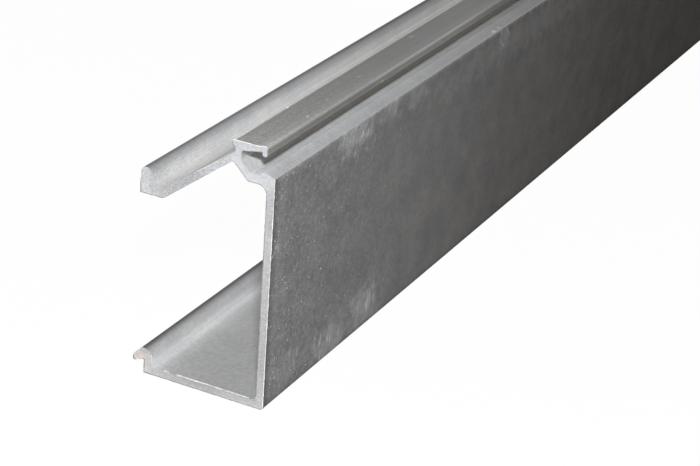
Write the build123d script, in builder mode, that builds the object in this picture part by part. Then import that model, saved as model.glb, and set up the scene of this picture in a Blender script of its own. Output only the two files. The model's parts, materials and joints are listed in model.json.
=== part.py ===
from build123d import *

import os
from math import atan2, cos, sqrt

# Aluminium glazing stop: one extruded length with a gasket race, a snap arm and a snap hook.
# The section is drawn in millimetres, with x = 0 on the outer face of the web and z = 0 under
# the bottom leg. The finished length stands on its bottom leg and runs along Y, with the origin
# in the middle of its box, on the floor.

# Stock, and the share of a rib's width by which each edge of its end is rounded
stock_length = 1219.2
wall = 1.78
edge_round = 0.15
rib_round_share = 0.46

# Web and bottom leg
web_height = 51.0
leg_depth = 28.4
foot_round = 0.75
bend_round = 1.0

# Snap hook on the edge of the bottom leg
hook_wall = 2.0
hook_height = 5.75
barb_reach = 2.6
barb_height = 3.55
barb_undercut = 0.95
barb_tip_round = 0.45
nose_land = 0.5
nose_round = 0.9

# Sloping shoulder above the web and the ridge that stands beside the race
shoulder_run = 2.6
shoulder_rise = 0.85
ridge_width = 0.8
ridge_round = 0.35

# Gasket race, open towards the outer face
race_depth = 7.6
race_height = 3.95
race_slope = 2.1
race_floor_wall = 2.0
race_back_wall = 1.5
race_bend_round = 0.5
shoulder_bend_round = 2.0

# Lip over the race, with the tongue and bead on its front and the heel at its back
lip_back_wall = 2.0
lip_front_wall = 1.15
tongue_setback = 2.0
tongue_width = 1.2
tongue_drop = 0.9
bead_rise = 0.2
bead_round = 0.45
heel_reach = 0.75
heel_height = 0.9
heel_round = 0.6

# Sloping arm, from the back of the race down to its foot
arm_root_drop = 2.45
arm_root_wall = 1.45

# Level foot of the arm and the snap lip that stands on its edge
foot_drop = 8.95
foot_wall = 1.65
foot_depth = 30.3
foot_width = 4.7
foot_bend_round = 1.5
lip_wall = 2.0
lip_rise = 4.15
lip_bead = 0.35
lip_bead_height = 2.1
heel_step = 0.2
heel_step_height = 3.0

# Heights and places that follow from the sizes above
race_floor = web_height
race_back = -race_depth
race_outside = race_back - race_back_wall
lip_underside = race_floor + race_height
lip_top = lip_underside + lip_back_wall
overall_depth = leg_depth + barb_reach


def shoulder_corners():
    """From the web's bottom corner up its outer face and over the shoulder to the ridge."""
    ridge_top = web_height + shoulder_rise
    return [
        (0, 0, foot_round),
        (0, web_height, edge_round),
        (-shoulder_run, ridge_top, ridge_round),
        (-shoulder_run - ridge_width, race_floor, edge_round),
    ]


def race_corners():
    """From the race's floor round its back and the underside of the lip to the tongue."""
    tongue_face = -tongue_setback
    tongue_back = tongue_face - tongue_width
    front_underside = lip_top - lip_front_wall
    tongue_round = rib_round_share * tongue_width
    return [
        (race_back + race_slope, race_floor, race_bend_round),
        (race_back, race_floor + race_slope, race_bend_round),
        (race_back, lip_underside, edge_round),
        (tongue_back, front_underside, edge_round),
        (tongue_back, front_underside - tongue_drop, tongue_round),
        (tongue_face, front_underside - tongue_drop, tongue_round),
    ]


def lip_corners():
    """Over the lip: the bead above the tongue, the flat top and the heel behind the race."""
    bead_front = -tongue_setback
    bead_back = bead_front - tongue_width
    heel_back = race_outside - heel_reach
    heel_underside = lip_top - heel_height
    return [
        (bead_front, lip_top + bead_rise, bead_round),
        (bead_back, lip_top + bead_rise, edge_round),
        (bead_back - bead_rise, lip_top, edge_round),
        (heel_back, lip_top, heel_round),
        (heel_back, heel_underside, edge_round),
        (race_outside, heel_underside - heel_reach, edge_round),
    ]


def arm_corners():
    """Down the top of the arm, round its foot and snap lip, and back up to the web."""
    arm_root = lip_top - arm_root_drop
    foot_top = web_height - foot_drop
    foot_underside = foot_top - foot_wall
    bend_x = foot_width - foot_depth
    arm_angle = atan2(arm_root - foot_top, race_outside - bend_x)

    # The arm's underside runs between two points under the ends of its top
    root_under = arm_root - arm_root_wall / cos(arm_angle)
    bend_under = foot_top - wall / cos(arm_angle)
    under_slope = (root_under - bend_under) / (race_outside - bend_x)
    under_bend_x = bend_x + (foot_underside - bend_under) / under_slope

    # The race's sloping corner is one wall thick, on a line where x + z is constant
    corner_sum = race_back + race_slope + race_floor - wall * sqrt(2)
    vertex_x = (corner_sum - root_under + under_slope * race_outside) / (1 + under_slope)
    race_underside = race_floor - race_floor_wall

    step_face = -(foot_depth - heel_step)
    lip_inside = step_face + lip_wall
    lip_crest = foot_top + lip_rise
    crest_round = rib_round_share * (lip_wall + lip_bead)
    bead_underside = lip_crest - lip_bead_height
    return [
        (race_outside, arm_root, edge_round),
        (bend_x, foot_top, foot_bend_round),
        (lip_inside, foot_top, race_bend_round),
        (lip_inside, bead_underside, lip_bead),
        (lip_inside + lip_bead, bead_underside + lip_bead, lip_bead),
        (lip_inside + lip_bead, lip_crest, crest_round),
        (step_face, lip_crest, crest_round),
        (step_face, foot_underside + heel_step_height + heel_step, 0),
        (-foot_depth, foot_underside + heel_step_height, 0),
        (-foot_depth, foot_underside, edge_round),
        (under_bend_x, foot_underside, foot_bend_round),
        (vertex_x, corner_sum - vertex_x, race_bend_round),
        (corner_sum - race_underside, race_underside, race_bend_round),
        (-wall, race_underside, shoulder_bend_round),
    ]


def leg_corners():
    """Along the inside of the bottom leg and round the snap hook on its edge."""
    hook_inside = -(leg_depth - hook_wall)
    nose_chamfer = barb_reach - nose_land
    barb_tip = hook_height - barb_height
    return [
        (-wall, wall, bend_round),
        (hook_inside, wall, race_bend_round),
        (hook_inside, hook_height, hook_wall),
        (-overall_depth + nose_chamfer, hook_height, nose_round),
        (-overall_depth, hook_height - nose_chamfer, nose_round),
        (-overall_depth, barb_tip, barb_tip_round),
        (-leg_depth, barb_tip + barb_undercut, edge_round),
        (-leg_depth, 0, edge_round),
    ]


corners = shoulder_corners() + race_corners() + lip_corners() + arm_corners() + leg_corners()

with BuildPart() as glazing_stop:
    with BuildSketch(Plane.XZ) as section:
        with BuildLine() as outline:
            FilletPolyline(
                [(x + overall_depth / 2, z) for x, z, _ in corners],
                radius=[corner_round for _, _, corner_round in corners],
                close=True,
            )
        make_face()
    extrude(amount=stock_length / 2, both=True)

glazing_stop.part.label = "glazing_stop"

os.makedirs("parts", exist_ok=True)
export_step(glazing_stop.part, "parts/glazing_stop.step")
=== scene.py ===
import json
from math import atan2, ceil, cos, pi, radians, sqrt, tan

import bpy
from mathutils import Matrix, Vector

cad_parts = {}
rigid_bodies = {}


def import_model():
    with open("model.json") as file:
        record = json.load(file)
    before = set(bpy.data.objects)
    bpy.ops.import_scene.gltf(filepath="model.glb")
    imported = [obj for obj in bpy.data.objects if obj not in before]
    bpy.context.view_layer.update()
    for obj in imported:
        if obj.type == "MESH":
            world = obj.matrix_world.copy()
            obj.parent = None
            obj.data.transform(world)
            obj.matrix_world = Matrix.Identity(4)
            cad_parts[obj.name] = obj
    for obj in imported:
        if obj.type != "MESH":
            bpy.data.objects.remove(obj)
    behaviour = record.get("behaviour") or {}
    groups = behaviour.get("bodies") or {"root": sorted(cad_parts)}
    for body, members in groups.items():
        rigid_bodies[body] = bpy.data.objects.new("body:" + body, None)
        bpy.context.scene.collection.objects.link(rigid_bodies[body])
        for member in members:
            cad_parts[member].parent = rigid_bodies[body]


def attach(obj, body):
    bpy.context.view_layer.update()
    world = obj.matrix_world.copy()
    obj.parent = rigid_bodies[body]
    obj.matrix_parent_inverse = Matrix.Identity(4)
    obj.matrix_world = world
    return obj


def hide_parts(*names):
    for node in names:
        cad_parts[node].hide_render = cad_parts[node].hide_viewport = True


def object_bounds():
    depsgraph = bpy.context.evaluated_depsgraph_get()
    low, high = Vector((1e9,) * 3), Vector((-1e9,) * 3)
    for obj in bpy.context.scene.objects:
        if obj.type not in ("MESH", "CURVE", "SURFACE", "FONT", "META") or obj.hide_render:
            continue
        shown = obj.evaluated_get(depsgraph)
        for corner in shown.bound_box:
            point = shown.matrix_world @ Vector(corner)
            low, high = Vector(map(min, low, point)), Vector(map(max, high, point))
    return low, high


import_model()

# Aluminium glazing stop, cut square from a length of mill finish stock. Every size is in metres.
cad_low, cad_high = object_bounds()
MM = 0.001

# The stock: the web's outer face, the overall sizes, the two sawn ends, the wall and its rounds
outer_face = cad_high.x
overall_depth = cad_high.x - cad_low.x
overall_height = cad_high.z - cad_low.z
burr_height = 0.12 * MM
near_end = cad_low.y + burr_height
far_end = cad_high.y - burr_height
wall = 1.78 * MM
edge_round = 0.15 * MM
rib_round_share = 0.46

# Web, bottom leg and the snap hook on the leg's edge
web_height = 51.0 * MM
foot_round = 0.75 * MM
bend_round = 1.0 * MM
hook_wall = 2.0 * MM
hook_height = 5.75 * MM
barb_reach = 2.6 * MM
barb_height = 3.55 * MM
barb_undercut = 0.95 * MM
barb_tip_round = 0.45 * MM
nose_land = 0.5 * MM
nose_round = 0.9 * MM
leg_depth = overall_depth - barb_reach

# Shoulder, ridge and gasket race
shoulder_run = 2.6 * MM
shoulder_rise = 0.85 * MM
ridge_width = 0.8 * MM
ridge_round = 0.35 * MM
race_depth = 7.6 * MM
race_slope = 2.1 * MM
race_floor_wall = 2.0 * MM
race_back_wall = 1.5 * MM
race_outside = -race_depth - race_back_wall
bend_inside = 0.5 * MM
shoulder_bend_round = 2.0 * MM

# Lip over the race, with its tongue, bead and heel
lip_back_wall = 2.0 * MM
lip_front_wall = 1.15 * MM
tongue_setback = 2.0 * MM
tongue_width = 1.2 * MM
tongue_drop = 0.9 * MM
bead_rise = 0.2 * MM
bead_round = 0.45 * MM
heel_reach = 0.75 * MM
heel_height = 0.9 * MM
heel_round = 0.6 * MM
lip_top = overall_height - bead_rise

# Sloping arm, its level foot and the snap lip on the foot's edge
arm_root_drop = 2.45 * MM
arm_root_wall = 1.45 * MM
foot_drop = 8.95 * MM
foot_wall = 1.65 * MM
foot_depth = 30.3 * MM
foot_width = 4.7 * MM
foot_bend_round = 1.5 * MM
lip_wall = 2.0 * MM
lip_rise = 4.15 * MM
lip_bead = 0.35 * MM
lip_bead_height = 2.1 * MM
heel_step = 0.2 * MM
heel_step_height = 3.0 * MM
foot_top = web_height - foot_drop

# The sawn rim: its width across the end, its depth along the bar and the spacing of its points,
# and the burr's layers, each of which lifts a share of those points
rim_width = 0.14 * MM
rim_depth = 0.35 * MM
rim_spacing = 0.6 * MM
burr_layers = 3
burr_share = 0.45

# How near two points count as one, the widest step round an arc and the least angle of an edge
touch = 0.01 * MM
arc_step = radians(12)
sharp_angle = radians(30)

# Sizes of the patterns in the mill finish, of which the die lines are drawn out along the bar,
# and how plainly the finest of them show by the distance in mm from the nearer cut
grain_size = 0.28 * MM
mottle_size = 1 * MM
cloud_size = 7 * MM
line_width = 0.35 * MM
line_draw = 250
fading = ((0, 1), (15, 0.9), (35, 0.5), (65, 0.2), (120, 0.12))

# The spacing and radius of the small and the large specks, and the size of their gatherings
small_specks = (0.6 * MM, 0.24 * MM)
large_specks = (2 * MM, 0.36 * MM)
speck_gathering = 4 * MM

# Rubbed patches: how ragged their edge is and in spots of what size, how far their strokes are
# drawn out, and how strong the mist is between them
rub_raggedness = 2.2
rub_edge_size = 2.5 * MM
stroke_draw = 6
mist_strength = 0.3

# Sizes of the patterns on the sawn ends and along their rims
sawn_grain_size = 0.2 * MM
sawn_blotch_size = 0.8 * MM
sawn_tint_size = 0.6 * MM
rim_spot_size = 0.7 * MM

# The depth of the relief that the light shows on each
mill_relief = 0.02 * MM
sawn_relief = 0.04 * MM

# Where a finish's tint changes along the bar, in mm from the nearer cut, and the other tints: none,
# warmer far from the cut as painted shade, on rubbed patches and the web's painted highlight, on
# nicks and on the lowest specks
tint_span = ("Y", 30, 260)
plain = (1, 1, 1)
far_shade_tint = (1.012, 1, 0.988)
rub_tint = (0.98, 1, 1.035)
nick_tint = (1, 1, 0.95)
low_speck_tint = (1.08, 0.99, 0.86)

# A Mix node's two colours and its blended colour, by number, because their names repeat
mix_first, mix_second, mix_colour = 6, 7, 2

# The floor and the room, whose light is faint and warm, and the slightly cool lamps
floor_size = 60
floor_grey = (0.86, 0.86, 0.86, 1)
floor_white_share = 0.97
room_light = (0.205, 0.2, 0.188)
lamp_colour = (0.982, 1, 1.015)

# The camera: its place from the foot of the web at the near end, its angles in degrees, its lens
# and film in mm, and the nearest point that it shows
camera_from_foot = (0.17035, -0.3195, 0.20879)
camera_turn = 25.69
camera_dip = 24.9
camera_roll = 4.17
camera_lens = 106.11
film_width = 36
nearest_shown = 0.01


def outer_corners():
    """From the web's foot over the shoulder and round the race and the lip to the race's back."""
    lip_underside = lip_top - lip_back_wall
    front_underside = lip_top - lip_front_wall
    tongue_back = -tongue_setback - tongue_width
    tongue_round = rib_round_share * tongue_width
    heel_underside = lip_top - heel_height
    return [
        (0, 0, foot_round),
        (0, web_height, edge_round),
        (-shoulder_run, web_height + shoulder_rise, ridge_round),
        (-shoulder_run - ridge_width, web_height, edge_round),
        (race_slope - race_depth, web_height, bend_inside),
        (-race_depth, web_height + race_slope, bend_inside),
        (-race_depth, lip_underside, edge_round),
        (tongue_back, front_underside, edge_round),
        (tongue_back, front_underside - tongue_drop, tongue_round),
        (-tongue_setback, front_underside - tongue_drop, tongue_round),
        (-tongue_setback, overall_height, bead_round),
        (tongue_back, overall_height, edge_round),
        (tongue_back - bead_rise, lip_top, edge_round),
        (race_outside - heel_reach, lip_top, heel_round),
        (race_outside - heel_reach, heel_underside, edge_round),
        (race_outside, heel_underside - heel_reach, edge_round),
    ]


def inner_corners():
    """Down the arm, round its foot and snap lip, back to the web, and along the leg to the hook."""
    # The arm's underside runs between two points under the ends of its top
    arm_root = lip_top - arm_root_drop
    foot_underside = foot_top - foot_wall
    bend_x = foot_width - foot_depth
    arm_angle = atan2(arm_root - foot_top, race_outside - bend_x)
    root_under = arm_root - arm_root_wall / cos(arm_angle)
    bend_under = foot_top - wall / cos(arm_angle)
    under_slope = (root_under - bend_under) / (race_outside - bend_x)
    under_bend_x = bend_x + (foot_underside - bend_under) / under_slope

    # The race's sloping corner is one wall thick, on a line where x + z is constant
    corner_sum = race_slope - race_depth + web_height - wall * sqrt(2)
    vertex_x = (corner_sum - root_under + under_slope * race_outside) / (1 + under_slope)
    race_underside = web_height - race_floor_wall

    step_face = heel_step - foot_depth
    step_top = foot_underside + heel_step_height
    lip_inside = lip_wall + heel_step - foot_depth
    lip_crest = foot_top + lip_rise
    crest_round = rib_round_share * (lip_wall + lip_bead)
    bead_underside = lip_crest - lip_bead_height
    hook_inside = hook_wall - leg_depth
    nose_chamfer = barb_reach - nose_land
    barb_tip = hook_height - barb_height
    return [
        (race_outside, arm_root, edge_round),
        (bend_x, foot_top, foot_bend_round),
        (lip_inside, foot_top, bend_inside),
        (lip_inside, bead_underside, lip_bead),
        (lip_inside + lip_bead, bead_underside + lip_bead, lip_bead),
        (lip_inside + lip_bead, lip_crest, crest_round),
        (step_face, lip_crest, crest_round),
        (step_face, step_top + heel_step, 0),
        (-foot_depth, step_top, 0),
        (-foot_depth, foot_underside, edge_round),
        (under_bend_x, foot_underside, foot_bend_round),
        (vertex_x, corner_sum - vertex_x, bend_inside),
        (corner_sum - race_underside, race_underside, bend_inside),
        (-wall, race_underside, shoulder_bend_round),
        (-wall, wall, bend_round),
        (hook_inside, wall, bend_inside),
        (hook_inside, hook_height, hook_wall),
        (nose_chamfer - overall_depth, hook_height, nose_round),
        (-overall_depth, hook_height - nose_chamfer, nose_round),
        (-overall_depth, barb_tip, barb_tip_round),
        (-leg_depth, barb_tip + barb_undercut, edge_round),
        (-leg_depth, 0, edge_round),
    ]


def select_only(piece, mode, chosen):
    """In edit mode, selects only the piece's vertices, edges or faces for which chosen is true."""
    bpy.ops.mesh.select_mode(type=mode)
    bpy.ops.mesh.select_all(action="DESELECT")
    bpy.ops.object.mode_set(mode="OBJECT")
    mesh = piece.data
    items = {"VERT": mesh.vertices, "EDGE": mesh.edges, "FACE": mesh.polygons}[mode]
    for item in items:
        item.select = chosen(item)
    bpy.ops.object.mode_set(mode="EDIT")


def draw_outline(corners):
    """A new piece: the section's outline drawn corner by corner on the near end, and filled."""
    first = Vector((outer_face + corners[0][0], near_end, corners[0][1]))
    bpy.ops.mesh.primitive_plane_add(size=wall, location=first, rotation=(pi / 2, 0, 0))
    piece = bpy.context.object
    bpy.ops.object.transform_apply(location=True, rotation=True, scale=True)
    bpy.ops.object.mode_set(mode="EDIT")
    bpy.ops.mesh.merge(type="CENTER")
    for (x, z, _), (next_x, next_z, _) in zip(corners, corners[1:]):
        step = (next_x - x, 0, next_z - z)
        bpy.ops.mesh.extrude_vertices_move(TRANSFORM_OT_translate={"value": step})
    bpy.ops.mesh.select_all(action="SELECT")
    bpy.ops.mesh.edge_face_add()
    return piece


def round_corners(piece, corners):
    """Rounds each corner of the outline to its own radius."""
    around = zip(corners[-1:] + corners[:-1], corners, corners[1:] + corners[:1])
    for before, (x, z, corner_round), after in around:
        if not corner_round:
            continue
        turn = atan2(after[1] - z, after[0] - x) - atan2(z - before[1], x - before[0])
        turn = abs((turn + pi) % (2 * pi) - pi)
        place = Vector((outer_face + x, near_end, z))
        select_only(piece, "VERT", lambda v: (v.co - place).length < touch)
        bpy.ops.mesh.bevel(
            offset_type="OFFSET",
            offset=corner_round * tan(turn / 2),
            segments=ceil(turn / arc_step),
            profile=0.5,
            affect="VERTICES",
        )


def split_long_edges(piece):
    """Splits the outline's straight runs, so that the sawn rim can be uneven along them."""
    def cuts_needed(edge):
        a, b = [piece.data.vertices[i].co for i in edge.vertices]
        return ceil((b - a).length / rim_spacing) - 1

    bpy.ops.mesh.select_mode(type="FACE")
    bpy.ops.mesh.select_all(action="SELECT")
    bpy.ops.mesh.delete(type="ONLY_FACE")
    for cuts in range(ceil(web_height / rim_spacing), 0, -1):
        select_only(piece, "EDGE", lambda edge: cuts_needed(edge) == cuts)
        if any(edge.select for edge in piece.data.edges):
            bpy.ops.mesh.subdivide(number_cuts=cuts)
    bpy.ops.mesh.select_mode(type="EDGE")
    bpy.ops.mesh.select_all(action="SELECT")
    bpy.ops.mesh.edge_face_add()


def at_end(point):
    """Whether a point lies on one of the two sawn ends."""
    return point.y < near_end + touch or point.y > far_end - touch


def saw_ends(piece):
    """A narrow rim round each sawn end, pushed out by chance as the burr that the saw leaves."""
    select_only(piece, "FACE", lambda face: at_end(face.center))
    bpy.ops.mesh.inset(thickness=rim_width, depth=0)
    bpy.ops.object.mode_set(mode="OBJECT")
    points = piece.data.vertices
    pairs = [edge.vertices for edge in piece.data.edges]
    along = [(a, b) for a, b in pairs if abs(points[a].co.y - points[b].co.y) > touch]
    rim = {i for pair in along for i in pair if at_end(points[i].co)}
    bpy.ops.object.mode_set(mode="EDIT")
    for layer in range(burr_layers):
        for side in (-1, 1):
            select_only(piece, "VERT", lambda v: v.index in rim and v.co.y * side > 0)
            bpy.ops.mesh.select_random(ratio=1 - burr_share, seed=layer, action="DESELECT")
            bpy.ops.transform.translate(value=(0, side * burr_height / burr_layers, 0))


def model_stock():
    """The length of stock: the rounded section, drawn out along the bar, with two sawn rims."""
    corners = outer_corners() + inner_corners()
    piece = draw_outline(corners)
    round_corners(piece, corners)
    split_long_edges(piece)
    bpy.ops.mesh.select_all(action="SELECT")
    length = (0, far_end - near_end, 0)
    bpy.ops.mesh.extrude_region_move(TRANSFORM_OT_translate={"value": length})
    for place in (near_end + rim_depth, far_end - rim_depth):
        bpy.ops.mesh.select_all(action="SELECT")
        bpy.ops.mesh.bisect(plane_co=(0, place, 0), plane_no=(0, 1, 0))
    bpy.ops.mesh.select_all(action="SELECT")
    bpy.ops.mesh.normals_make_consistent(inside=False)
    saw_ends(piece)
    bpy.ops.object.mode_set(mode="OBJECT")
    bpy.ops.object.shade_smooth_by_angle(angle=sharp_angle)
    piece.name = piece.data.name = "glazing_stop_stock"
    return piece


def add(tree, kind, inputs, **settings):
    """A new node with its settings made, and each input set to a value or joined to an output."""
    node = tree.nodes.new("ShaderNode" + kind)
    for setting, value in settings.items():
        setattr(node, setting, value)
    for socket, value in inputs.items():
        if isinstance(value, bpy.types.NodeSocket):
            tree.links.new(value, node.inputs[socket])
        else:
            node.inputs[socket].default_value = value
    return node


def worked_out(tree, operation, first, second=0):
    """The result of a Math node's operation on one or two values."""
    return add(tree, "Math", {0: first, 1: second}, operation=operation).outputs[0]


def times(tree, first, second):
    """Two values multiplied."""
    return worked_out(tree, "MULTIPLY", first, second)


def plus(tree, first, second):
    """Two values added."""
    return worked_out(tree, "ADD", first, second)


def graded(tree, value, low, high, start=0.0, end=1.0):
    """A smooth change from start to end while the value goes from low to high, level outside."""
    ends = {"Value": value, 1: low, 2: high, 3: start, 4: end}
    return add(tree, "MapRange", ends, interpolation_type="SMOOTHSTEP").outputs[0]


def own_place(tree):
    """A point's place in the object's own coordinates."""
    return add(tree, "TexCoord", {}).outputs["Object"]


def measured(tree, axis):
    """A place in mm: X from the web's outer face, Y from the nearer sawn end, Z from the floor."""
    value = add(tree, "SeparateXYZ", {0: own_place(tree)}).outputs[axis]
    if axis == "X":
        value = plus(tree, value, -outer_face)
    if axis == "Y":
        value = worked_out(tree, "SUBTRACT", far_end, worked_out(tree, "ABSOLUTE", value))
    return times(tree, value, 1 / MM)


def stops(tree, value, steps):
    """A value led through (place, factor) steps, with straight runs between them."""
    low, high = steps[0][0], steps[-1][0]
    share = add(tree, "MapRange", {"Value": value, 1: low, 2: high}).outputs[0]
    ramp = add(tree, "ValToRGB", {0: share})
    while len(ramp.color_ramp.elements) < len(steps):
        ramp.color_ramp.elements.new(0.5)
    for element, (place, factor) in zip(ramp.color_ramp.elements, steps):
        element.position = (place - low) / (high - low)
        element.color = (factor, factor, factor, 1)
    return ramp.outputs["Color"]


def within(tree, *edges):
    """A share that is 1 inside all the soft edges given as an axis, an outside and an inside."""
    share = 1
    for axis, outside, inside in edges:
        share = times(tree, share, graded(tree, measured(tree, axis), outside, inside))
    return share


def noise(tree, size, drawn=(1, 1, 1), detail=2, lean=0.0):
    """Soft noise about one half, in spots of about a size, drawn out along axes and leaning."""
    scale = [size * draw for draw in drawn]
    spots = {"Vector": own_place(tree), "Rotation": (lean, 0, 0), "Scale": scale}
    place = add(tree, "Mapping", spots, vector_type="TEXTURE").outputs[0]
    return add(tree, "TexNoise", {"Vector": place, "Scale": 1, "Detail": detail}).outputs["Fac"]


def uneven(tree, pattern, share):
    """A factor about one that follows a noise pattern, by about the given share each way."""
    # Noise lies mostly between a quarter and three quarters, which becomes -1 to 1
    swing = plus(tree, times(tree, pattern, 4), -2)
    return plus(tree, times(tree, swing, share), 1)


def blend(tree, share, first, second):
    """A colour that goes from the first to the second as the share goes from 0 to 1."""
    inputs = {0: share, mix_first: first, mix_second: second}
    for socket in (mix_first, mix_second):
        if not isinstance(inputs[socket], bpy.types.NodeSocket):
            inputs[socket] = (*inputs[socket], 1)
    return add(tree, "Mix", inputs, data_type="RGBA").outputs[mix_colour]


def tinted(tree, colour, tint):
    """A colour multiplied by a tint."""
    return add(tree, "VectorMath", {0: colour, 1: tint}, operation="MULTIPLY").outputs[0]


def scaled(tree, colour, amount):
    """A colour made brighter or darker by an amount."""
    return add(tree, "VectorMath", {0: colour, "Scale": amount}, operation="SCALE").outputs[0]


def lightened(tree, colour, amount, tint):
    """A colour with an amount of a tint added to it."""
    more = scaled(tree, tint, amount)
    return add(tree, "VectorMath", {0: colour, 1: more}, operation="ADD").outputs[0]


def specks(tree, spacing, radius):
    """Specks of about a radius, few of them bright, and more of them near the cut."""
    cells = add(tree, "TexVoronoi", {"Vector": own_place(tree), "Scale": 1 / spacing})
    spot = graded(tree, cells.outputs["Distance"], radius / spacing, 0.3 * radius / spacing)
    chance = add(tree, "SeparateColor", {0: cells.outputs["Color"]}).outputs[0]
    rareness = graded(tree, measured(tree, "Y"), low=1, high=9, start=12, end=24)
    return times(tree, spot, worked_out(tree, "POWER", chance, rareness))


def away_from(tree, middle, reach):
    """A point's distance in reaches from a middle, with x from the web and y from the near end."""
    centre = (outer_face + middle[0] * MM, near_end + middle[1] * MM, middle[2] * MM)
    patch = {"Vector": own_place(tree), "Location": centre, "Scale": [r * MM for r in reach]}
    local = add(tree, "Mapping", patch, vector_type="TEXTURE").outputs[0]
    return add(tree, "VectorMath", {0: local}, operation="LENGTH").outputs["Value"]


def rub(tree, middle, reach, strokes, width, lean):
    """A rubbed patch on the web about a middle (y, z): a ragged mist with short strokes in it."""
    away = away_from(tree, (0, *middle), (wall / MM, *reach))
    edge = noise(tree, rub_edge_size, detail=3)
    ragged = plus(tree, away, times(tree, edge, rub_raggedness))
    mist = graded(tree, ragged, low=2.3, high=1.3)
    thin = noise(tree, width * MM, drawn=(1, 1, stroke_draw), detail=3, lean=lean)
    drawn = graded(tree, thin, low=0.53, high=0.72)
    return times(tree, mist, plus(tree, times(tree, drawn, strokes), mist_strength))


def metal(name, metallic, gloss):
    """A new material, its node tree and its shader."""
    material = bpy.data.materials.new(name)
    material.use_nodes = True
    shader = material.node_tree.nodes["Principled BSDF"]
    shader.inputs["Metallic"].default_value = metallic
    shader.inputs["Specular IOR Level"].default_value = gloss
    return material, material.node_tree, shader


def coloured(tree, brightness, low_tint, high_tint, span=tint_span, tinged=0.0):
    """A brightness in a tint that changes over a span, warms along the bar as painted shade, and in
    patches.
    """
    axis, low, high = span
    tint = blend(tree, graded(tree, measured(tree, axis), low, high), low_tint, high_tint)
    # Painted shade: warmer away from the cut, where the cool key light falls off
    far_shade = graded(tree, measured(tree, "Y"), low=60, high=200)
    tint = tinted(tree, tint, blend(tree, far_shade, plain, far_shade_tint))
    if tinged:
        cool = (1 - 0.3 * tinged, 1 - 0.5 * tinged, 1 + tinged)
        warm = (1 + tinged, 1, 1 - tinged)
        patches = graded(tree, noise(tree, cloud_size, detail=3), low=0.38, high=0.62)
        shown = graded(tree, measured(tree, "Y"), low=20, high=120, start=0.3)
        patchy = blend(tree, shown, plain, blend(tree, patches, cool, warm))
        tint = tinted(tree, tint, patchy)
    return scaled(tree, tint, brightness)


def ramped(tree, brightness, lengthwise, crosswise, steeper):
    """A brightness led through steps along the bar, and through others across the section, which
    paint light and shade.
    """
    if lengthwise:
        brightness = times(tree, brightness, stops(tree, measured(tree, "Y"), lengthwise))
    steepness = graded(tree, measured(tree, "Y"), low=50, high=130, start=1, end=steeper)
    for axis, steps in crosswise:
        factor = stops(tree, measured(tree, axis), steps)
        brightness = times(tree, brightness, worked_out(tree, "POWER", factor, steepness))
    return brightness


def marked(tree, colour, rubs_and_highlight, nicks):
    """A colour with rubbed patches and nicks in it, and on the web a painted highlight drawn like a
    rub.
    """
    for middle, reach, strength, strokes, width, lean in rubs_and_highlight:
        patch = rub(tree, middle, reach, strokes, width, radians(lean))
        colour = lightened(tree, colour, times(tree, patch, strength), rub_tint)
    for middle, reach, strength in nicks:
        nick = graded(tree, away_from(tree, middle, reach), low=1, high=0.4)
        colour = lightened(tree, colour, times(tree, nick, strength), nick_tint)
    return colour


def sprinkled(tree, colour, strength, worn):
    """A colour with small and large specks on it, gathered in places and warmer low down."""
    small = times(tree, specks(tree, *small_specks), strength)
    large = times(tree, specks(tree, *large_specks), strength)
    gathering = noise(tree, speck_gathering, detail=2)
    gathered = graded(tree, gathering, low=0.4, high=0.6, start=0.3, end=1.1)
    shown = times(tree, plus(tree, small, large), times(tree, gathered, worn))
    tint = blend(tree, graded(tree, measured(tree, "Z"), low=32, high=12), plain, low_speck_tint)
    return lightened(tree, colour, shown, tint)


def mill_finish(
    name, tone, lengthwise=(), crosswise=(), rubs_and_highlight=(), nicks=(), grained=0.15, mottled=0.1,
    clouded=0.06, lined=0.04, speckled=0.0, metallic=0.12, rough=0.55, gloss=0.1,
    low_tint=plain, high_tint=plain, span=tint_span, tinged=0.01, steeper=1.0,
):
    """Extruded aluminium as it left the die: grain, clouds, die lines, tints, specks and marks."""
    material, tree, shader = metal(name, metallic, gloss)
    worn = stops(tree, measured(tree, "Y"), fading)
    grain = noise(tree, grain_size, detail=2)
    mottle = noise(tree, mottle_size, detail=2)
    cloud = noise(tree, cloud_size, detail=4)
    lines = noise(tree, line_width, drawn=(1, line_draw, 1), detail=3)

    # The patterns fade away from the cut, where the photo shows less and less of them
    graining = times(tree, worn, grained)
    mottling = times(tree, graded(tree, worn, low=0, high=1, start=0.4), mottled)
    line_fade = graded(tree, measured(tree, "Y"), low=25, high=100, start=1, end=0.35)
    lining = times(tree, line_fade, lined)
    brightness = times(tree, uneven(tree, grain, graining), tone)
    for pattern, share in ((mottle, mottling), (cloud, clouded), (lines, lining)):
        brightness = times(tree, brightness, uneven(tree, pattern, share))
    # These steps paint light and shade: falloff of the lamps away from the cut, and shade and
    # highlights across the section
    brightness = ramped(tree, brightness, lengthwise, crosswise, steeper)

    colour = coloured(tree, brightness, low_tint, high_tint, span, tinged)
    colour = marked(tree, colour, rubs_and_highlight, nicks)
    if speckled:
        colour = sprinkled(tree, colour, speckled, worn)
    roughness = times(tree, uneven(tree, cloud, 0.12), rough)
    height = plus(tree, grain, times(tree, lines, 0.5))
    relief = add(tree, "Bump", {"Height": height, "Distance": mill_relief, "Strength": 0.6})
    tree.links.new(colour, shader.inputs["Base Color"])
    tree.links.new(roughness, shader.inputs["Roughness"])
    tree.links.new(relief.outputs[0], shader.inputs["Normal"])
    return material


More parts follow.
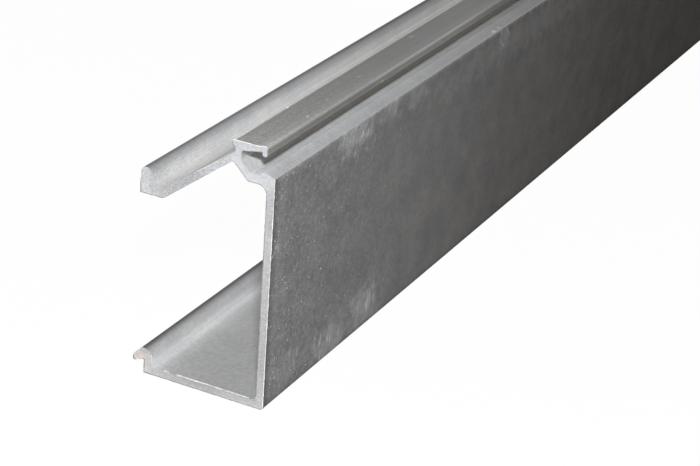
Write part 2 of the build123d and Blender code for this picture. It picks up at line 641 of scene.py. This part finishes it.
def web_finish():
    """The web's outer face: dark, partly as painted shade for the dim surroundings it reflects,
    darker away from the sawn end as painted lamp falloff, speckled, and rubbed bright near the end.
    """
    # Painted shadow of the burr in the first 0.35 mm, then painted falloff of the key lamp to 265
    # mm, rising again towards the middle
    lengthwise = (
        (0, 0.65), (0.35, 0.75), (0.8, 1.12), (4, 1.04), (10, 1), (60, 0.97), (90, 0.865),
        (107, 0.765), (125, 0.72), (147, 0.68), (180, 0.56), (200, 0.51), (235, 0.46),
        (265, 0.42), (310, 0.55), (380, 0.8), (610, 0.75),
    )
    # Darker towards the foot, and a painted highlight along the rounded top edge
    upward = (
        (0, 0.6), (0.6, 0.7), (1.1, 0.82), (1.5, 0.9), (2, 0.93), (4, 0.98), (7, 0.98),
        (11, 0.94), (20, 0.95), (36, 0.95), (43, 0.925), (47, 0.93), (49.5, 0.91), (50.3, 1.05),
        (51, 1.5),
    )
    # Middle and reach (y, z) in mm, strength, strokes, stroke width in mm and lean in degrees
    rubs_and_highlight = (
        ((34, 48.2), (9, 4.5), 0.32, 0.9, 0.4, -26),
        ((50, 49.3), (6, 3), 0.18, 0.9, 0.4, -26),
        ((63, 48.5), (6, 2.5), 0.12, 0.6, 0.4, -20),
        ((9, 5.5), (5, 5), 0.14, 0.8, 0.7, -5),
        ((28, 4), (9, 5), 0.22, 0.8, 0.8, -5),
        ((44, 5), (8, 6.5), 0.25, 0.8, 0.8, -5),
        ((2.5, 35.5), (2, 2.5), 0.25, 0.8, 0.35, -10),
        ((111, 48.5), (3, 3.5), 0.19, 0.9, 0.8, 48),
        ((120, 46), (60, 5), 0.1, 0, 0.4, 0),
        # Not a rub: a painted highlight along the web's top edge
        ((150, 51.2), (130, 1), 0.15, 0, 0.4, 0),
    )
    # Middle and reach (x, y, z) in mm, and strength, here and in the finishes below
    nicks = (((0, 21.8, 23.2), (1, 0.4, 0.3), 0.3), ((0, 31, 11), (1, 0.5, 0.3), 0.1))
    return mill_finish(
        "dark web face in painted shade", 0.175, lengthwise, (("Z", upward),), rubs_and_highlight, nicks, grained=0.3,
        mottled=0.2, clouded=0.12, lined=0.02, speckled=0.62, metallic=0.06, rough=0.6,
        gloss=0.0, low_tint=(1.012, 1, 0.995), high_tint=(1.045, 1, 0.95), tinged=0.02,
    )


def shoulder_finish():
    """The shoulder and the floor of the race: clean and matt, with nothing to rub them, with
    painted light in the lip's shadow and on the ridge, and painted falloff away from the cut.
    """
    lengthwise = (
        (0, 0.965), (20, 1), (60, 0.955), (100, 0.89), (145, 0.67), (260, 0.6), (610, 0.62),
    )
    # Painted light: the race floor lightened where the lip shades it, and the ridge lightened as a
    # highlight
    across = (
        (-5.5, 1.65), (-5, 1.4), (-4.6, 1.25), (-3.5, 1.36), (-2.9, 1.42), (-2.6, 1.28),
        (-2, 1.06), (-1, 0.97), (0, 0.95),
    )
    nicks = (
        ((-0.56, 104.7, 51.2), (0.5, 1.2, 0.5), 0.22), ((-0.7, 107.9, 51.2), (0.5, 1, 0.5), 0.12),
    )
    return mill_finish(
        "race and shoulder", 0.395, lengthwise, (("X", across),), nicks=nicks, lined=0.02,
        low_tint=(0.99, 1, 1.015), high_tint=(1.035, 1, 1.01), span=("Y", 50, 190),
    )


def race_back_finish():
    """The race's sloping corner and back, light at the cut, with painted shade that darkens it
    towards the lip and an olive painted tint in the lip's shadow.
    """
    lengthwise = ((0, 0.9), (4, 1), (8, 1.05), (20, 1), (60, 0.95), (150, 0.85), (610, 0.8))
    # Painted shadow of the lip, darker towards it
    upward = (
        (51, 0.97), (53.2, 0.97), (53.4, 0.9), (53.6, 0.82), (54, 0.74), (54.3, 0.63),
        (54.95, 0.5),
    )
    return mill_finish(
        "back of the race", 0.52, lengthwise, (("Z", upward),), grained=0.08,
        low_tint=(0.988, 1, 1), high_tint=(1.01, 1, 0.92), span=("Y", 3, 10),
    )


def lip_top_finish():
    """The top of the lip: duller, with fine streaks, painted highlights on the bead and along the
    back edge, painted shade in an olive line beside that edge, and painted falloff away from the
    cut.
    """
    lengthwise = (
        (0, 1.25), (6, 1.13), (20, 0.99), (60, 0.86), (95, 0.86), (108, 0.81), (610, 0.81),
    )
    # A painted highlight along the back edge, painted shade in the line beside it, and a painted
    # highlight on the rounded bead
    across = (
        (-10, 2.8), (-9.6, 2.8), (-9.2, 2.3), (-8.95, 1.2), (-8.75, 0.88), (-8.5, 0.96), (-7, 1),
        (-4.6, 1), (-3.8, 1.1), (-3.3, 1.15), (-3, 1.1), (-2.5, 1.25), (-2, 1.35),
    )
    nicks = (
        ((-9.17, 20.6, 57), (0.35, 0.6, 0.5), 0.35), ((-5.7, 45, 57), (0.5, 1.2, 0.5), 0.06),
        ((-7.7, 74.5, 57), (0.6, 1.8, 0.5), 0.06),
    )
    return mill_finish(
        "lip top", 0.19, lengthwise, (("X", across),), nicks=nicks, grained=0.3, lined=0.15,
        speckled=0.6, low_tint=(1.01, 1, 0.92), high_tint=(1.008, 1, 0.985),
        span=("X", -8.6, -7.9),
    )


def tongue_finish():
    """The front of the tongue, with a painted highlight where it rounds over to the bead, a warm
    painted shade low down, and painted falloff away from the cut.
    """
    lengthwise = (
        (0, 1.06), (20, 0.89), (37, 0.84), (55, 0.96), (65, 1.02), (90, 1.01), (107, 0.7),
        (120, 0.7), (610, 0.7),
    )
    # Painted shade low on the tongue and a painted highlight where it rounds over to the bead
    upward = ((54.8, 0.93), (55.6, 0.85), (56, 0.77), (56.4, 0.8), (56.8, 1.36), (57.2, 1.5))
    nicks = (((-2, 49, 55.5), (0.5, 0.8, 0.4), 0.12),)
    return mill_finish(
        "tongue", 0.22, lengthwise, (("Z", upward),), nicks=nicks, lined=0.12,
        low_tint=(1.02, 1, 0.9), high_tint=(1.012, 1, 0.96), span=("Z", 55.2, 56.6),
    )


def arm_finish():
    """The smooth, light top of the arm and its foot, with painted light and shade across it and
    painted falloff away from the cut.
    """
    lengthwise = ((0, 0.92), (10, 1), (50, 1.05), (70, 1), (120, 0.94), (260, 0.8), (610, 0.8))
    # Steps that paint light and shade across the arm, lightening the foot's corner where it is
    # shaded
    across = (
        (-28.2, 0.61), (-27.95, 0.58), (-27.7, 0.62), (-27.2, 0.67), (-26.9, 0.67),
        (-26.56, 0.65), (-26.27, 0.635), (-25.96, 0.66), (-25.4, 0.74), (-24.5, 0.76),
        (-23, 0.73), (-21.5, 0.67), (-20, 0.58), (-18.5, 0.49), (-17, 0.45), (-15.5, 0.46),
        (-13, 0.56), (-9, 0.52),
    )
    return mill_finish(
        "arm and foot", 0.85, lengthwise, (("X", across),), grained=0.12,
        low_tint=(1.005, 1, 0.99), high_tint=(1.016, 1, 0.955), span=("X", -27, -16),
    )


def snap_lip_finish():
    """The snap lip, with painted shade that darkens it towards its crest and its back, more so away
    from the cut, and cooler towards its crest.
    """
    lengthwise = (
        (0, 0.92), (10, 1), (35, 1.025), (60, 0.99), (85, 0.975), (110, 0.97), (165, 0.95),
        (260, 0.82), (610, 0.82),
    )
    # Painted shade: darker towards the snap lip's back and, in the steps after, towards its crest
    across = (
        (-30.3, 0.5), (-29, 0.5), (-28.7, 0.6), (-28.45, 0.78), (-28.25, 0.88), (-28.05, 0.94),
        (-27.9, 1),
    )
    upward = (
        (42.5, 0.74), (43.7, 0.745), (44.05, 0.83), (44.3, 0.865), (44.55, 0.78), (44.8, 0.6),
        (45.1, 0.53), (45.4, 0.475), (45.7, 0.39), (45.92, 0.34), (46.1, 0.33), (46.17, 0.31),
        (46.2, 0.29),
    )
    return mill_finish(
        "snap lip", 0.88, lengthwise, (("Z", upward), ("X", across)), grained=0.12,
        low_tint=(0.998, 1, 1.005), high_tint=(0.992, 1, 1.035), span=("Z", 44.5, 46),
        steeper=1.25,
    )


def leg_finish():
    """The inside of the bottom leg, and the snap hook, with painted shade that darkens the hook
    towards its crest, a painted reflection on its inner face, and painted light beside the web.
    """
    lengthwise = ((0, 0.97), (10, 1), (20, 1.02), (35, 1.06), (50, 1.08), (610, 1.08))
    # Painted shade darkens the hook towards its crest; a painted reflection is a bright band at the
    # foot of its inner face, and painted light lifts the corner beside the web, which shades it
    across = (
        (-31, 0.36), (-29.9, 0.32), (-29.3, 0.1), (-28.9, 0.085), (-28.6, 0.085), (-28.2, 0.135),
        (-27.8, 0.25), (-27.4, 0.37), (-27.1, 0.44), (-26.8, 0.51), (-26.6, 0.55),
        (-26.47, 0.64), (-26.42, 0.72), (-26.39, 0.87), (-26.35, 0.76), (-26.2, 0.655),
        (-25.9, 0.66), (-25.4, 0.665), (-25, 0.61), (-24.4, 0.52), (-22.4, 0.41), (-20.5, 0.37),
        (-18.5, 0.355), (-16, 0.345), (-3, 0.345), (-1.7, 0.48),
    )
    # A painted reflection brightens the lower part of the hook's inner wall
    upward = (
        (1.78, 1), (2, 0.92), (2.3, 1.04), (2.6, 1.15), (2.9, 1.14), (3.2, 1.09), (3.5, 1.03),
        (3.8, 0.96), (4.1, 0.9), (4.4, 0.93), (4.7, 1), (5.8, 1),
    )
    return mill_finish(
        "leg and hook", 0.9, lengthwise, (("X", across), ("Z", upward)), grained=0.12,
        low_tint=(1, 1, 1.025), high_tint=(1.003, 1, 1), span=("X", -27.6, -26.6),
    )


def sawn_finish():
    """Freshly sawn metal: light, cool and grained, calmer round the race, warmer on the hook."""
    material, tree, shader = metal("sawn end", 0.2, 0.2)
    upward = (
        (0, 0.98), (3, 0.98), (6, 0.87), (9, 0.82), (25, 0.88), (38, 0.93), (41, 0.86),
        (47, 0.9), (50, 1.12), (53, 1.07), (57, 1),
    )
    across = ((-31, 1.26), (-27, 1.18), (-24, 1), (-20, 0.92), (-12, 0.88), (-9, 1), (0, 1))
    race = within(tree, ("Z", 44, 50), ("X", -12, -8))
    arm = within(tree, ("Z", 39, 42), ("X", -9, -13), ("X", -28, -23))
    hook = within(tree, ("X", -26.8, -28.2), ("Z", 9, 6), ("Z", 1.8, 2.8))

    grain = noise(tree, sawn_grain_size, detail=3)
    graining = plus(tree, 0.25, plus(tree, times(tree, race, -0.12), times(tree, arm, 0.3)))
    blotch = uneven(tree, noise(tree, sawn_blotch_size, detail=2), 0.08)
    brightness = times(tree, uneven(tree, grain, graining), blotch)
    brightness = times(tree, brightness, stops(tree, measured(tree, "Z"), upward))
    brightness = times(tree, brightness, stops(tree, measured(tree, "X"), across))
    brightness = times(tree, brightness, 0.4)

    colour = coloured(tree, brightness, (1.008, 0.996, 1.002), (0.988, 1, 1.03), ("Z", 34, 50))
    warmed = graded(tree, noise(tree, sawn_blotch_size, detail=2), low=0.4, high=0.6)
    peach = blend(tree, times(tree, warmed, hook), plain, (1.12, 0.97, 0.88))
    patches = graded(tree, noise(tree, sawn_tint_size, detail=2), low=0.4, high=0.6)
    tempered = blend(tree, patches, (0.98, 1, 1.03), (1.02, 1, 0.97))
    colour = tinted(tree, tinted(tree, colour, peach), tempered)
    relief = add(tree, "Bump", {"Height": grain, "Distance": sawn_relief, "Strength": 0.7})
    tree.links.new(colour, shader.inputs["Base Color"])
    shader.inputs["Roughness"].default_value = 0.5
    tree.links.new(relief.outputs[0], shader.inputs["Normal"])
    return material


def rim_finish(name, tone, metallic, across=()):
    """The sawn rim where it shows as a line: a tone that varies by chance, and across the bar."""
    material, tree, shader = metal(name, metallic, 0.3)
    spots = noise(tree, rim_spot_size, detail=3)
    brightness = times(tree, uneven(tree, spots, 0.45), tone)
    if across:
        brightness = times(tree, brightness, stops(tree, measured(tree, "X"), across))
    colour = coloured(tree, brightness, (0.99, 1, 1.01), (0.99, 1, 1.01))
    tree.links.new(colour, shader.inputs["Base Color"])
    shader.inputs["Roughness"].default_value = 0.45
    return material


def finish_faces(piece, material, chosen):
    """Gives the material to the faces of the piece for which chosen is true."""
    bpy.ops.object.material_slot_add()
    piece.material_slots[-1].material = material
    bpy.ops.object.mode_set(mode="EDIT")
    select_only(piece, "FACE", chosen)
    bpy.ops.object.material_slot_assign()
    bpy.ops.object.mode_set(mode="OBJECT")


def section_place(face):
    """A face's middle in mm: x from the web's outer face and z from the floor."""
    return (face.center.x - outer_face) / MM, face.center.z / MM


def long_faces(across, upward, side, least):
    """Picks the long faces within two spans in mm that look to a side at least so squarely."""
    side = Vector(side).normalized()

    def chosen(face):
        x, z = section_place(face)
        inside = across[0] < x < across[1] and upward[0] < z < upward[1]
        return inside and not at_end(face.center) and face.normal.dot(side) > least
    return chosen


def shaded_rim(piece, low_z, high_z):
    """Picks the rim's faces at sides that look down or back, given painted shade as a dark outline.
    """
    sides = {}
    for face in piece.data.polygons:
        if not at_end(face.center):
            for key in face.edge_keys:
                sides[key] = face.normal.copy()

    def chosen(face):
        if not (at_end(face.center) and low_z < face.center.z / MM < high_z):
            return False
        beside = [sides[key] for key in face.edge_keys if key in sides]
        return any(side.x < 0.3 and side.z < 0.2 for side in beside)
    return chosen


def faintly_burred(face):
    """Whether a face is on the sawn rim along the top of the arm, where the burr is faint."""
    x, z = section_place(face)
    bend_x = (foot_width - foot_depth) / MM
    on_arm_top = z - foot_top / MM > 0.7 * (x - bend_x)
    return at_end(face.center) and -18 < x < -12 and z > 47.4 and on_arm_top


def burred_leg(face):
    """Whether a face is in the strip beside the sawn rim where the burr leans over the leg."""
    x, z = section_place(face)
    # The short span at -23 mm is a painted glint
    leg = 1.62 < z < 1.8 and (-20.5 < x < -3.5 or -23.3 < x < -22.5)
    return leg and face.normal.z > 0.9 and abs(face.center.y) > far_end - rim_depth


def burred(face):
    """Whether a face is on the sawn rim where the burr shows most: on the web, hook and lip."""
    x, z = section_place(face)
    web = x > -0.16 and 0.7 < z < 50.9
    # A painted glint on the hook's inner rim
    hook = -26.6 < x < -26.3 and 3 < z < 4.6
    lip = x < -2 and z > 56.8
    return at_end(face.center) and (web or hook or lip)


def finish_stock(piece):
    """Every finish of the stock, each over the ones before it on its own faces."""
    finish_faces(piece, mill_finish("mill finish", 0.5), lambda face: True)
    # Each with its faces' spans of x and z in mm, their side and how squarely they look to it
    long_finishes = (
        (web_finish(), (-0.8, 0.1), (-1, 51), (1, 0, 0), 0.3),
        (shoulder_finish(), (-7.7, 0.1), (50.9, 54.9), (0.5, 0, 1), 0.2),
        (lip_top_finish(), (-10.7, -1.9), (55.6, 57.2), (0, 0, 1), 0.5),
        (tongue_finish(), (-3.3, -1.9), (54.8, 57.2), (1, 0, 0), 0.5),
        (arm_finish(), (-30.3, -9), (41.9, 54.6), (0, 0, 1), 0.3),
        (snap_lip_finish(), (-30.3, -27.4), (42.5, 47), (1, 0, 1), -0.5),
        (leg_finish(), (-31.1, -1.7), (1.7, 5.8), (0.5, 0, 1), 0.3),
        (race_back_finish(), (-7.8, -5.35), (51, 54.9), (0.5, 0, 1), 0.2),
    )
    for finish, across, upward, side, least in long_finishes:
        finish_faces(piece, finish, long_faces(across, upward, side, least))

    finish_faces(piece, sawn_finish(), lambda face: at_end(face.center))
    # Painted shade on the rim's lower and back sides as a dark outline, darkest at the back
    rim_shade_across = ((-31, 0.1), (-28, 0.25), (-25, 1), (-9, 1.6), (0, 1.6))
    rim_finishes = (
        (rim_finish("rim in painted shade", 0.14, 0.1, rim_shade_across), shaded_rim(piece, -1, 12)),
        (rim_finish("upper rim in painted shade", 0.2, 0.1), shaded_rim(piece, 12, 60)),
        # Light tones of the fresh burr, with its glint painted in
        (rim_finish("faint burr with glint", 0.55, 0.2), faintly_burred),
        (rim_finish("leg burr with glint", 0.75, 0.2), burred_leg),
        (rim_finish("saw burr with glint", 0.88, 0.2), burred),
    )
    for finish, chosen in rim_finishes:
        finish_faces(piece, finish, chosen)


def seen_share(tree, share):
    """A value that is share for what the camera sees, straight or in gloss or glass, else 0."""
    path = add(tree, "LightPath", {})
    seen = path.outputs["Is Camera Ray"]
    for ray in ("Is Glossy Ray", "Is Transmission Ray"):
        seen = worked_out(tree, "MAXIMUM", seen, path.outputs[ray])
    return times(tree, seen, share)


def paper_floor():
    """A pale floor that shows white and keeps the object's soft shadow."""
    bpy.ops.mesh.primitive_plane_add(size=floor_size)
    floor = bpy.context.object
    floor.name = "floor"
    material = bpy.data.materials.new("white paper")
    material.use_nodes = True
    tree = material.node_tree
    tree.nodes.clear()
    share = seen_share(tree, floor_white_share)
    lit = add(tree, "BsdfDiffuse", {"Color": floor_grey}).outputs[0]
    white = add(tree, "Emission", {"Strength": 1}).outputs[0]
    both = add(tree, "MixShader", {"Fac": share, 1: lit, 2: white}).outputs[0]
    add(tree, "OutputMaterial", {"Surface": both})
    floor.data.materials.append(material)


def lamp_disc(name, target, towards, distance, size, strength):
    """A round lamp that lights a white face at its target, turned to it, to a strength."""
    bpy.ops.object.light_add(type="AREA", location=target + towards.normalized() * distance)
    lamp = bpy.context.object
    lamp.name = name
    lamp.rotation_euler = towards.to_track_quat("Z", "Y").to_euler()
    lamp.data.shape = "DISK"
    lamp.data.size = size
    lamp.data.color = lamp_colour
    lamp.data.energy = strength * pi ** 2 * distance ** 2


def studio():
    """A faint warm room, a key and a fill lamp at each sawn end, and a lamp over the middle."""
    world = bpy.data.worlds.new("studio")
    bpy.context.scene.world = world
    world.use_nodes = True
    tree = world.node_tree
    backdrop = blend(tree, seen_share(tree, 1), room_light, plain)
    tree.links.new(backdrop, tree.nodes["Background"].inputs["Color"])
    for sawn_end, outward in ((near_end, -1), (far_end, 1)):
        corner = Vector((outer_face, sawn_end, web_height))
        key_side = Vector((0.405, 0.76 * outward, 0.62))
        fill_side = Vector((-0.75, 0.35 * outward, 0.55))
        lamp_disc("key", corner, key_side, distance=0.3, size=0.03, strength=1.5)
        lamp_disc("fill", corner, fill_side, distance=0.5, size=0.35, strength=0.28)
    middle = Vector((outer_face, 0, web_height))
    lamp_disc("middle", middle, Vector((0.5, 0, 0.6)), distance=0.25, size=0.1, strength=0.8)


def photo_camera():
    """The camera at the photo's viewing angle, close to the sawn end."""
    right, back, up = camera_from_foot
    bpy.ops.object.camera_add(location=(outer_face + right, cad_low.y + back, up))
    camera = bpy.context.object
    turn = Matrix.Rotation(radians(camera_turn), 3, "Z")
    tilt = Matrix.Rotation(radians(90 - camera_dip), 3, "X")
    roll = Matrix.Rotation(radians(camera_roll), 3, "Z")
    camera.rotation_euler = (turn @ tilt @ roll).to_euler()
    camera.data.sensor_width = film_width
    camera.data.lens = camera_lens
    camera.data.clip_start = nearest_shown
    bpy.context.scene.camera = camera


bpy.ops.object.select_all(action="DESELECT")
stock = model_stock()
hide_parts("glazing_stop")
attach(stock, "root")
finish_stock(stock)
paper_floor()
studio()
photo_camera()
bpy.context.scene.view_settings.view_transform = "Standard"
